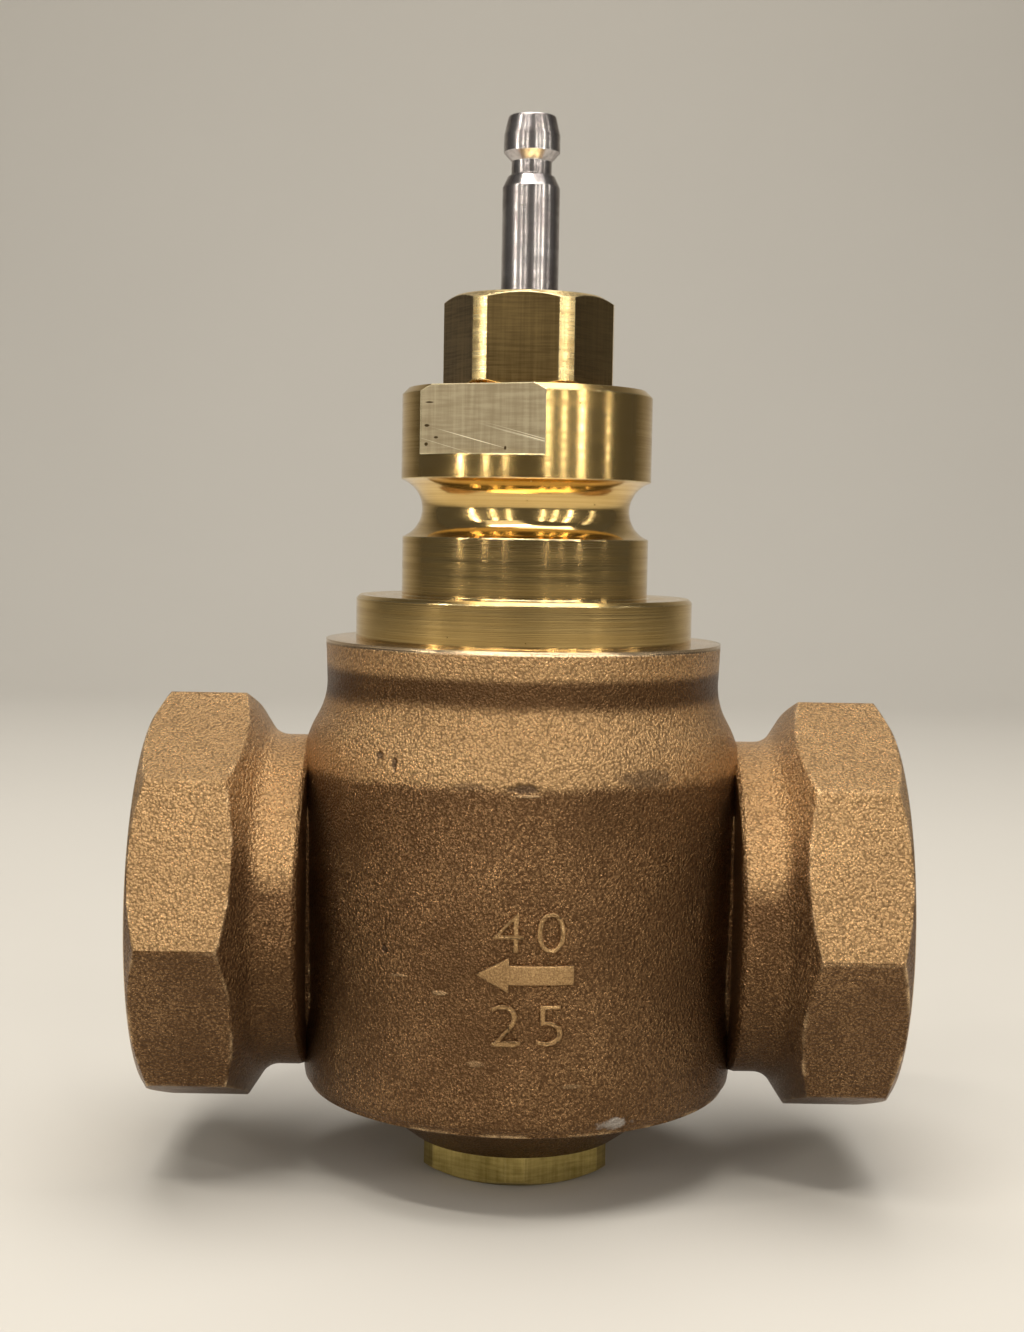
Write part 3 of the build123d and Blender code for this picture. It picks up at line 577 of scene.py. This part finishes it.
def makeBonnetBrass():
    material, tree, shader, place = newFinish("turnedBrass", 1.0, 0.2, anisotropic=0.6)
    b = bonnetLook
    z = split(tree, place)[2]
    lines = use(tree, turnLines, place, Density=b["lineDensity"])
    wear = use(tree, edgeWear, place, Width=0.00035, Reach=0.46, Breakup=300.0)
    dirt = use(tree, patches, place, Scale=70.0, Sharp=0.18)[0]
    milled = times(tree, facingMask(tree, b["flatTurn"], 0.9995), step(tree, z, *b["flatAbove"]))

    shade = timesPlus(tree, dirt, 0.3, times(tree, lines["Tone"], 0.7))
    colour = blendColour(tree, shade, b["dark"], b["light"])
    spots = put(tree, "TexVoronoi", {"Vector": place, "Scale": 340.0}, feature="F1")
    fleck = times(tree, step(tree, spots.outputs["Distance"], 0.09, 0.03), 0.5)
    colour = blendColour(tree, fleck, colour, b["fleck"])

    # milled flats: paler and duller, with stray scratches that run down to the right
    tilted = put(tree, "Mapping", {"Vector": place, "Rotation": (0, radians(b["scratchTilt"]), 0)})
    tilted = put(tree, "VectorMath", {0: tilted.outputs[0], 1: b["scratchStretch"]}, operation="MULTIPLY")
    scratched = step(tree, cloudy(tree, tilted.outputs[0], 1.0, 2.0), 0.66, 0.72)
    scratched = times(tree, scratched, step(tree, z, *b["scratchedBelow"]))
    flat = use(tree, flatGrain, place, Fineness=1700.0)
    pits = largest(tree, *(markMask(tree, place, *sizes) for sizes in collarMarks.values()))
    flatColour = blendColour(tree, flat["Tone"], b["flatDark"], b["flatLight"])
    flatColour = blendColour(tree, scratched, flatColour, b["scratch"])
    # painted shade: the nicks darkened towards the pit tone
    flatColour = blendColour(tree, pits, flatColour, b["pit"])
    colour = blendColour(tree, milled, colour, flatColour)
    colour = blendColour(tree, times(tree, wear["Mask"], 0.7), colour, b["worn"])

    rough = timesPlus(tree, lines["Tone"], -0.08, timesPlus(tree, dirt, -0.03, 0.19))
    rough = blendValue(tree, milled, rough, b["flatRough"])
    rough = timesPlus(tree, fleck, 0.3, rough, clamp=True)
    flatHeight = timesPlus(tree, pits, -3.0, times(tree, flat["Height"], 0.35))
    flatHeight = timesPlus(tree, scratched, -0.4, flatHeight)
    height = blendValue(tree, milled, lines["Height"], flatHeight)
    dress(tree, shader, colour, rough, height, b["relief"], wear["Normal"])
    return material


nutLook = {
    # the flats' dark tones are painted dark reflection of the room, under their real grain and patches
    "flatDark": (0.115, 0.076, 0.029), "flatLight": (0.29, 0.20, 0.082), "turnedDark": (0.72, 0.51, 0.22),
    "turnedLight": (0.97, 0.76, 0.38), "worn": (0.96, 0.80, 0.46), "slope": 0.2, "turnedBeyond": 0.014815,
    "relief": 0.000012,
}


def makeNutBrass():
    material, tree, shader, place = newFinish("nutBrass", 1.0, 0.32)
    n = nutLook
    outward = distance(tree, *split(tree, place)[:2])
    facing = split(tree, put(tree, "NewGeometry").outputs["True Normal"])[2]
    sloped = calc(tree, "GREATER_THAN", calc(tree, "ABSOLUTE", facing), n["slope"])
    turned = largest(tree, sloped, calc(tree, "GREATER_THAN", outward, n["turnedBeyond"]))
    flat = use(tree, flatGrain, place)
    lines = use(tree, turnLines, place, Density=5200.0)
    wear = use(tree, edgeWear, place, Width=0.0003, Reach=0.44, Breakup=420.0)
    dirt = use(tree, patches, place, Scale=120.0, Sharp=0.2)[0]
    shade = timesPlus(tree, dirt, 0.35, times(tree, flat["Tone"], 0.65))
    # painted reflection: the flats are darkened to stand in for the dark room they reflect
    flatColour = blendColour(tree, shade, n["flatDark"], n["flatLight"])
    turnedColour = blendColour(tree, lines["Tone"], n["turnedDark"], n["turnedLight"])
    colour = blendColour(tree, turned, flatColour, turnedColour)
    colour = blendColour(tree, wear["Mask"], colour, n["worn"])
    rough = timesPlus(tree, turned, -0.1, timesPlus(tree, flat["Tone"], -0.1, 0.42))
    height = blendValue(tree, turned, times(tree, flat["Height"], 1.2), lines["Height"])
    dress(tree, shader, colour, rough, height, n["relief"], wear["Normal"])
    return material


plugLook = {"dark": (0.25, 0.19, 0.055), "light": (0.60, 0.47, 0.17), "worn": (0.85, 0.68, 0.32),
            "relief": 0.00002}


def makePlugBrass():
    material, tree, shader, place = newFinish("plugBrass", 1.0, 0.42)
    flat = use(tree, flatGrain, place, Fineness=1800.0)
    wear = use(tree, edgeWear, place, Width=0.0004, Reach=0.40, Breakup=300.0)
    dirt = use(tree, patches, place, Scale=150.0, Sharp=0.18)[0]
    shade = timesPlus(tree, dirt, 0.55, times(tree, flat["Tone"], 0.45))
    colour = blendColour(tree, shade, plugLook["dark"], plugLook["light"])
    colour = blendColour(tree, times(tree, wear["Mask"], 0.7), colour, plugLook["worn"])
    rough = timesPlus(tree, dirt, -0.12, 0.5)
    dress(tree, shader, colour, rough, flat["Height"], plugLook["relief"], wear["Normal"])
    return material


def makeSteel(name, dark, light, density, depth, roughness):
    material, tree, shader, place = newFinish(name, 1.0, roughness, anisotropic=0.4)
    lines = use(tree, turnLines, place, Density=density)
    wear = use(tree, edgeWear, place, Width=0.0002, Reach=0.44, Breakup=500.0)
    colour = blendColour(tree, lines["Tone"], dark, light)
    colour = blendColour(tree, times(tree, wear["Mask"], 0.7), colour, scaled(light, 1.3))
    rough = timesPlus(tree, lines["Tone"], -0.06, roughness + 0.04)
    dress(tree, shader, colour, rough, lines["Height"], depth, wear["Normal"])
    return material


def makeSoft(name, dark, light, roughness, scale, depth):
    material, tree, shader, place = newFinish(name, 0.0, roughness)
    speck = cloudy(tree, place, scale, 4.0, 0.65)
    dirt = use(tree, patches, place, Scale=160.0, Sharp=0.2)[0]
    shade = timesPlus(tree, dirt, 0.4, times(tree, speck, 0.8), clamp=True)
    rough = timesPlus(tree, speck, -0.12, roughness + 0.06)
    dress(tree, shader, blendColour(tree, shade, dark, light), rough, speck, depth)
    return material


stemLook = {"dark": (0.30, 0.275, 0.27), "light": (0.64, 0.61, 0.60), "tint": (0.36, 0.27, 0.26),
            "worn": (0.82, 0.80, 0.78), "relief": 0.0000025}


def makeStem():
    material, tree, shader, place = newFinish("stemSteel", 1.0, 0.2, anisotropic=0.3)
    streaks = use(tree, flatGrain, place, Fineness=400.0)
    wear = use(tree, edgeWear, place, Width=0.0002, Reach=0.44, Breakup=500.0)
    dirt = use(tree, patches, place, Scale=240.0, Sharp=0.3)[0]
    colour = blendColour(tree, streaks["Tone"], stemLook["dark"], stemLook["light"])
    colour = blendColour(tree, times(tree, dirt, 0.35), colour, stemLook["tint"])
    colour = blendColour(tree, times(tree, wear["Mask"], 0.7), colour, stemLook["worn"])
    rough = timesPlus(tree, streaks["Tone"], -0.08, 0.27)
    dress(tree, shader, colour, rough, streaks["Height"], stemLook["relief"], wear["Normal"])
    return material


raisedLook = {"dark": (0.26, 0.155, 0.07), "light": (0.54, 0.345, 0.16), "proud": (0.00004, 0.00022),
              "grainWobble": 0.0002, "relief": 0.00012}


def makeRaisedBronze():
    # cast marks: the barrel's skin, rubbed to gold where they stand proud of it
    material, tree, shader, place = newFinish("raisedBronze", 1.0, 0.34)
    r = raisedLook
    skin = use(tree, castSkin, place)
    x, y, z = split(tree, place)
    (lowZ, lowR), (highZ, highR) = barrel["foot"], barrel["belly"]
    slope = (highR - lowR) / (highZ - lowZ)
    under = timesPlus(tree, z, slope, (lowR - lowZ * slope) * mm)
    above = calc(tree, "SUBTRACT", distance(tree, x, y), under)
    proud = timesPlus(tree, calc(tree, "SUBTRACT", skin["Tone"], 0.5), r["grainWobble"], above)
    colour = blendColour(tree, skin["Tone"], castTones["plain"], castTones["lit"])
    gold = blendColour(tree, skin["Tone"], r["dark"], r["light"])
    colour = blendColour(tree, step(tree, proud, *r["proud"]), colour, gold)
    dress(tree, shader, colour, timesPlus(tree, skin["Tone"], -0.1, 0.42), skin["Height"], r["relief"])
    return material


def makeFloorFinish():
    material, tree, shader, place = newFinish("paleFloor", 0.0, 0.75, specular=0.25)
    pale = studio["floorColour"]
    colour = blendColour(tree, cloudy(tree, place, 3.0, 5.0), scaled(pale, 0.965), scaled(pale, 1.03))
    tree.links.new(colour, shader.inputs["Base Color"])
    return material


# a name, the darker and the lighter tone, then numbers for how fine, deep and rough the surface is
finishes = {
    "cast_bronze": makeCastBronze(),
    "turned_brass": makeBonnetBrass(),
    "nut_brass": makeNutBrass(),
    "plug_brass": makePlugBrass(),
    "disc_brass": makeTurned("discBrass", (0.50, 0.36, 0.14), (0.85, 0.66, 0.32), 4200.0, 0.000016,
                             roughness=0.26, anisotropic=0.3),
    "bush_bronze": makeTurned("bushBronze", (0.36, 0.20, 0.10), (0.66, 0.42, 0.22), 5200.0, 0.000014,
                              roughness=0.3, anisotropic=0.3, flecks=0.4),
    "stem_steel": makeStem(),
    "seat_steel": makeSteel("seatSteel", (0.45, 0.45, 0.44), (0.72, 0.71, 0.69), 4600.0, 0.000012, 0.26),
    "washer_steel": makeSteel("washerSteel", (0.40, 0.40, 0.40), (0.66, 0.66, 0.65), 5200.0, 0.00001, 0.3),
    "spring_steel": makeSteel("springSteel", (0.30, 0.30, 0.31), (0.55, 0.55, 0.55), 5200.0, 0.00001, 0.3),
    "packing_ptfe": makeSoft("packingPtfe", (0.60, 0.59, 0.56), (0.86, 0.85, 0.82), 0.42, 1500.0, 0.00002),
    "wiper_ptfe": makeSoft("wiperPtfe", (0.10, 0.085, 0.06), (0.22, 0.19, 0.14), 0.5, 1500.0, 0.00003),
    "gasket_fibre": makeSoft("gasketFibre", (0.09, 0.12, 0.09), (0.22, 0.27, 0.20), 0.75, 2600.0, 0.00006),
    "seal_rubber": makeSoft("sealRubber", (0.012, 0.012, 0.012), (0.04, 0.04, 0.038), 0.6, 1800.0, 0.00003),
}
makeSweep().data.materials.append(makeFloorFinish())

for node in nodes.values():
    for index, material in enumerate(node.data.materials):
        slot = material.name.split(".")[0] if material else ""
        if slot in finishes:
            node.data.materials[index] = finishes[slot]
used = sorted({m.name for n in nodes.values() for m in n.data.materials if m})
print("finishes on", len(nodes), "nodes:", used)


def settle(piece, finish):
    piece.data.materials.append(finish)
    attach(piece, "valve")


# casting's middle: the round barrel stays whole past two oval necks; sizes in mm

neck = {"axisHeight": 46.6, "start": 30.0, "ringStart": 36.6, "port": 42.98, "outer": 29.1, "edge": 1.5,
        "edgeSteps": 3, "plate": 22.05, "bore": (9.5, 12.5), "wall": 4.0, "segments": 96}
wall = {"low": 15.2, "high": 77.5, "gap": 0.3, "rows": 60, "steps": 144, "skin": 0.3, "firstCut": 22,
        "sharpAngle": 32}
merge = 1e-6


def barrelRadius(z):
    (z0, r0), (z1, r1) = barrel["foot"], barrel["belly"]
    radius = r0 + (r1 - r0) * min(1, max(0, (z - z0) / (z1 - z0)))
    f, top = barrel["footRound"], barrel["shoulderRound"]
    below, above = max(0, min(f, z0 + f - z)), max(0, z - barrel["shoulder"])
    return radius - (f - sqrt(f * f - below * below)) - (top - sqrt(top * top - above * above))


def dropWall(bm):
    # takes off the outer wall, with all that stands out of the barrel, between two heights
    for height in (wall["low"], wall["high"]):
        cutAcross(bm, Vector((0, 0, height)) * mm, (0, 0, 1), merge)
    for cut in range(wall["firstCut"], int(castSeam)):
        cutAcross(bm, Vector((cut, 0, 0)) * mm, (1, 0, 0), merge)
        cutAcross(bm, Vector((-cut, 0, 0)) * mm, (1, 0, 0), merge)

    def outside(face):
        if not wall["low"] < face.calc_center_median().z / mm < wall["high"]:
            return False
        spots = [v.co / mm for v in face.verts]
        return any(sqrt(c.x * c.x + c.y * c.y) > barrelRadius(c.z) - wall["skin"] for c in spots)

    bmesh.ops.delete(bm, geom=[f for f in bm.faces if outside(f)], context="FACES")


def openRim(bm, z):
    # open edges at one height, on the barrel's outside
    def onRim(v):
        return abs(v.co.z / mm - z) < 1e-3 and v.co.xy.length / mm > barrelRadius(z) - wall["skin"]

    return [e for e in bm.edges if e.is_boundary and all(onRim(v) for v in e.verts)]


def addWall(bm):
    w = wall
    low, high = w["low"] + w["gap"], w["high"] - w["gap"]
    heights = [low + (high - low) * row / w["rows"] for row in range(w["rows"] + 1)]
    line = [bm.verts.new(Vector((barrelRadius(z), 0, z)) * mm) for z in heights]
    edges = [bm.edges.new(pair) for pair in zip(line, line[1:])]
    before = set(bm.faces)
    bmesh.ops.spin(bm, geom=edges + line, cent=(0, 0, 0), axis=(0, 0, 1), angle=2 * pi, steps=w["steps"],
                   use_merge=True)
    made = [f for f in bm.faces if f not in before]
    for height, end in ((w["low"], heights[0]), (w["high"], heights[-1])):
        bmesh.ops.bridge_loops(bm, edges=openRim(bm, height) + openRim(bm, end))
    half, rise = neck["bore"][0] + neck["wall"] / 2, neck["bore"][1]

    def inPassage(face):
        centre = face.calc_center_median() / mm
        up = max(0, abs(centre.z - neck["axisHeight"]) - rise)
        return sqrt(centre.y ** 2 + up * up) < half and abs(centre.x) > w["firstCut"]

    bmesh.ops.delete(bm, geom=[f for f in made if inPassage(f)], context="FACES")


def addNeck(bm):
    # oval tube out of the barrel, then the round ring that carries the pipe end
    n = neck
    half, rise = n["bore"]
    wide = half + n["wall"]
    loops = [(half, rise, n["start"]), (wide, rise, n["start"]), (wide, rise, n["ringStart"])]
    for bend in range(n["edgeSteps"] + 1):
        turn = radians(90) * bend / n["edgeSteps"]
        radius = n["outer"] - n["edge"] * (1 - sin(turn))
        loops.append((radius, 0, n["ringStart"] + n["edge"] * (1 - cos(turn))))
    loops += [(n["outer"], 0, castSeam), (n["plate"], 0, castSeam), (n["plate"], 0, n["port"])]
    loops += [(half, rise, n["port"])]
    rings = []
    for radius, shift, x in loops:
        made = bmesh.ops.create_circle(bm, segments=n["segments"], radius=radius)["verts"]
        for v in made:
            up = v.co.y + (shift if v.co.y > 1e-6 else -shift if v.co.y < -1e-6 else 0)
            v.co = Vector((x, v.co.x, n["axisHeight"] + up)) * mm
        rings.append([e for e in bm.edges if e.verts[0] in set(made) and e.verts[1] in set(made)])
    for near, far in zip(rings, rings[1:] + rings[:1]):
        bmesh.ops.bridge_loops(bm, edges=near + far)
    return list({v for ring in rings for e in ring for v in e.verts})


def makeBody():
    bm = bmesh.new()
    bm.from_mesh(nodes["valve_body"].data)
    bmesh.ops.remove_doubles(bm, verts=bm.verts, dist=merge)
    dropWall(bm)
    addWall(bm)
    for turn in (0, pi):
        necked = addNeck(bm)
        bmesh.ops.rotate(bm, verts=necked, matrix=Matrix.Rotation(turn, 3, "Z"))
    for face in bm.faces:
        face.material_index = 0
    made = addSmooth("bodyCasting", bm)
    if "custom_normal" in made.data.attributes:
        made.data.attributes.remove(made.data.attributes["custom_normal"])
    made.data.set_sharp_from_angle(angle=radians(wall["sharpAngle"]))
    return made


bodyCasting = makeBody()
settle(bodyCasting, finishes["cast_bronze"])
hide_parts("valve_body")
print("barrel and necks:", len(bodyCasting.data.polygons), "faces")


# marks cast on the barrel: each is drawn flat in mm, x to the right and z up, then wrapped round it

def wrapOnBarrel(bm, centre):
    for v in bm.verts:
        z = centre[1] + v.co.z
        r = barrelRadius(z) + v.co.y
        turn = (centre[0] + v.co.x) / barrelRadius(z)
        v.co = Vector((r * sin(turn), -r * cos(turn), z)) * mm


def softenTop(bm, depth, rounding):
    # the flat outline becomes a raised form with rounded shoulders
    grown = bmesh.ops.extrude_face_region(bm, geom=bm.faces[:])["geom"]
    tops = onlyKind(grown, bmesh.types.BMVert)
    bmesh.ops.translate(bm, verts=tops, vec=(0, depth, 0))
    bmesh.ops.recalc_face_normals(bm, faces=bm.faces)
    tops = set(tops)

    def onRim(edge):
        if len(edge.link_faces) != 2 or any(v not in tops for v in edge.verts):
            return False
        return abs(edge.link_faces[0].normal.dot(edge.link_faces[1].normal)) < 0.5

    bmesh.ops.bevel(bm, geom=[e for e in bm.edges if onRim(e)], offset=rounding, offset_type="OFFSET",
                    segments=3, profile=0.5, affect="EDGES", material=-1)


arrow = {"centre": (0.9, 42.1), "length": 15.8, "head": 5.4, "headWidth": 5.8, "shaft": 3.2, "depth": 0.55,
         "rounding": 0.32, "sink": 0.25, "pieces": 14, "ripple": 0.16, "rippleScale": 0.9, "rippleSeed": 3.1}


def makeArrow():
    a = arrow
    bm = bmesh.new()
    tipAt = -a["length"] / 2
    headEnd = tipAt + a["head"]
    tip = bm.verts.new((tipAt, 0, 0))
    headTop, headLow = (bm.verts.new((headEnd, 0, s * a["headWidth"] / 2)) for s in (1, -1))
    shaftTop, shaftLow = (bm.verts.new((headEnd, 0, s * a["shaft"] / 2)) for s in (1, -1))
    head = bm.faces.new((tip, headLow, shaftLow, shaftTop, headTop))
    edge = [e for e in head.edges if set(e.verts) == {shaftTop, shaftLow}]
    grown = bmesh.ops.extrude_edge_only(bm, edges=edge)["geom"]
    bmesh.ops.translate(bm, verts=onlyKind(grown, bmesh.types.BMVert), vec=(a["length"] - a["head"], 0, 0))
    for cut in range(1, a["pieces"]):
        cutAcross(bm, (tipAt + a["length"] * cut / a["pieces"], 0, 0), (1, 0, 0))
    bmesh.ops.translate(bm, verts=bm.verts, vec=(0, -a["sink"], 0))
    softenTop(bm, a["depth"] + a["sink"], a["rounding"])
    for v in bm.verts:
        if v.co.y > 0:
            spot = Vector((v.co.x * a["rippleScale"], v.co.z * a["rippleScale"], a["rippleSeed"]))
            v.co.y += a["ripple"] * noise.noise(spot)
    wrapOnBarrel(bm, a["centre"])
    return addSmooth("flowArrow", bm)


numbers = {
    "upperNumber": {"words": "40", "centre": (1.6, 49.0), "high": 6.6, "wide": 11.5, "depth": 0.38},
    "lowerNumber": {"words": "25", "centre": (1.4, 34.0), "high": 6.7, "wide": 11.5, "depth": 0.45},
}
lettering = {"spacing": 1.22, "curveSteps": 4, "thinner": -0.012, "sink": 0.25, "rounding": 0.22, "lastCut": 6}


def wordsMesh(name, words):
    curve = bpy.data.curves.new(name, "FONT")
    curve.body = words
    curve.align_x, curve.align_y = "CENTER", "CENTER"
    curve.space_character = lettering["spacing"]
    curve.resolution_u = lettering["curveSteps"]
    curve.offset = lettering["thinner"]
    loose = bpy.data.objects.new(name + "Words", curve)
    scene.collection.objects.link(loose)
    bpy.context.view_layer.update()
    mesh = bpy.data.meshes.new_from_object(loose.evaluated_get(bpy.context.evaluated_depsgraph_get()))
    bpy.data.objects.remove(loose)
    return mesh


def makeNumber(name, n):
    mesh = wordsMesh(name, n["words"])
    bm = bmesh.new()
    bm.from_mesh(mesh)
    bpy.data.meshes.remove(mesh)
    bmesh.ops.remove_doubles(bm, verts=bm.verts, dist=1e-4)
    xs, ys = [v.co.x for v in bm.verts], [v.co.y for v in bm.verts]
    bmesh.ops.translate(bm, verts=bm.verts, vec=(-(min(xs) + max(xs)) / 2, -(min(ys) + max(ys)) / 2, 0))
    stretch = (n["wide"] / (max(xs) - min(xs)), n["high"] / (max(ys) - min(ys)), 1)
    bmesh.ops.scale(bm, verts=bm.verts, vec=stretch)
    bmesh.ops.rotate(bm, verts=bm.verts, matrix=Matrix.Rotation(pi / 2, 3, "X"))
    for cut in range(-lettering["lastCut"], lettering["lastCut"] + 1):
        cutAcross(bm, (cut, 0, 0), (1, 0, 0))
    bmesh.ops.translate(bm, verts=bm.verts, vec=(0, -lettering["sink"], 0))
    softenTop(bm, n["depth"] + lettering["sink"], lettering["rounding"])
    wrapOnBarrel(bm, n["centre"])
    return addSmooth(name, bm)


raisedBronze = makeRaisedBronze()
settle(makeArrow(), raisedBronze)
for name, number in numbers.items():
    settle(makeNumber(name, number), raisedBronze)
print("arrow and numbers")


# pipe threads in both mouths, in mm: one profile that winds inwards from the mouth

thread = {"axisHeight": 46.6, "bore": 24.1, "pitch": 2.21, "depth": 1.35, "start": 61.6, "turns": 7.6,
          "steps": 56, "sink": 0.2, "footShare": 0.44, "crestShare": 0.12}


def makeThread(name, side):
    t = thread
    bm = bmesh.new()
    outer, inner = t["bore"] + t["sink"], t["bore"] - t["depth"]
    half = t["pitch"] * t["footShare"]
    crest = half * t["crestShare"]
    corners = ((half, outer), (crest, inner), (-crest, inner), (-half, outer))
    first = bm.faces.new([bm.verts.new((t["start"] + x, 0, r)) for x, r in corners])
    bmesh.ops.spin(bm, geom=[first] + first.edges[:] + first.verts[:], cent=(0, 0, 0), axis=(1, 0, 0),
                   dvec=(-t["pitch"] / t["steps"], 0, 0), angle=2 * pi * t["turns"],
                   steps=int(t["steps"] * t["turns"]))
    bmesh.ops.holes_fill(bm, edges=bm.edges, sides=0)
    bmesh.ops.scale(bm, verts=bm.verts, vec=(side, 1, 1))
    bmesh.ops.translate(bm, verts=bm.verts, vec=(0, 0, t["axisHeight"]))
    bmesh.ops.scale(bm, verts=bm.verts, vec=(mm, mm, mm))
    bmesh.ops.recalc_face_normals(bm, faces=bm.faces)
    return addObject(name, bm)


settle(makeThread("inletThread", 1), finishes["cast_bronze"])
settle(makeThread("outletThread", -1), finishes["cast_bronze"])
print("pipe threads")
